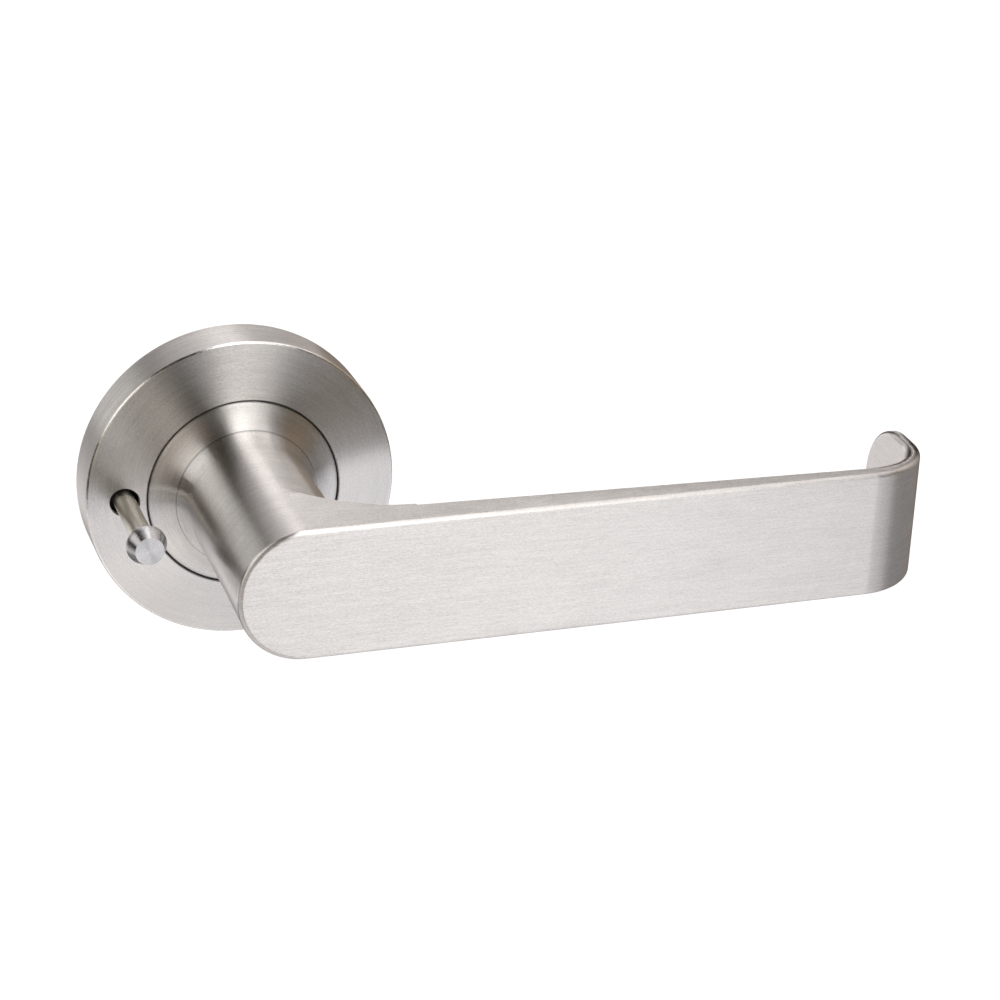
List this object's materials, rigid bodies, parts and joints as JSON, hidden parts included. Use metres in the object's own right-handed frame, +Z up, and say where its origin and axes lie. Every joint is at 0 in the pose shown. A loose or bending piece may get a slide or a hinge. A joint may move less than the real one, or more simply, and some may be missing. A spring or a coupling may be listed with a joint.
{
  "type": "door lever handle",
  "caption": "Flat-fronted door lever with a returned end on a round rose, with a push-in privacy pin, square spindle and centring spring.",
  "frame": {"origin": "centre of the rose's back face on the spindle axis, where it rests on the door", "axes": "+X along the lever towards its returned end, +Y into the door along the spindle, +Z up"},
  "size_m": [0.1678, 0.1186, 0.065],
  "materials": {
    "satin_stainless": "satin",
    "turned_stainless": "polished",
    "cast_zinc": "matte",
    "plated_steel": "satin",
    "spring_steel": "satin",
    "black_screw_steel": "satin",
    "nylon": "matte",
    "black_nylon": "matte",
    "nitrile_rubber": "matte"
  },
  "bodies": {
    "rose": {"rose_cover": "satin_stainless", "base_plate": "cast_zinc", "front_bush": "nylon", "rear_bush": "nylon", "thrust_washer": "plated_steel", "return_spring": "spring_steel", "fixing_posts": "plated_steel", "cover_snap_ring": "spring_steel", "pin_guide_bush": "black_nylon", "pin_o_ring": "nitrile_rubber"},
    "lever": {"lever_handle": "satin_stainless", "neck_collar": "satin_stainless", "drive_cam": "plated_steel", "retaining_ring": "spring_steel", "backing_washer": "plated_steel", "spindle": "plated_steel", "spindle_grub_screw": "black_screw_steel"},
    "privacy_pin": {"privacy_pin": "turned_stainless", "pin_knob": "turned_stainless", "pin_retaining_clip": "spring_steel"}
  },
  "joints": [
    {"name": "lever_turn", "type": "hinge", "parent": "rose", "child": "lever", "pos_m": [0, 0, 0], "axis": [0, 1, 0], "range_deg": [-45, 45], "stiffness_Nm_per_rad": 2, "springref_deg": -4.01, "deforming": ["return_spring"]},
    {"name": "pin_push", "type": "slide", "parent": "rose", "child": "privacy_pin", "axis": [0, 1, 0], "range_m": [0, 0.01]}
  ]
}
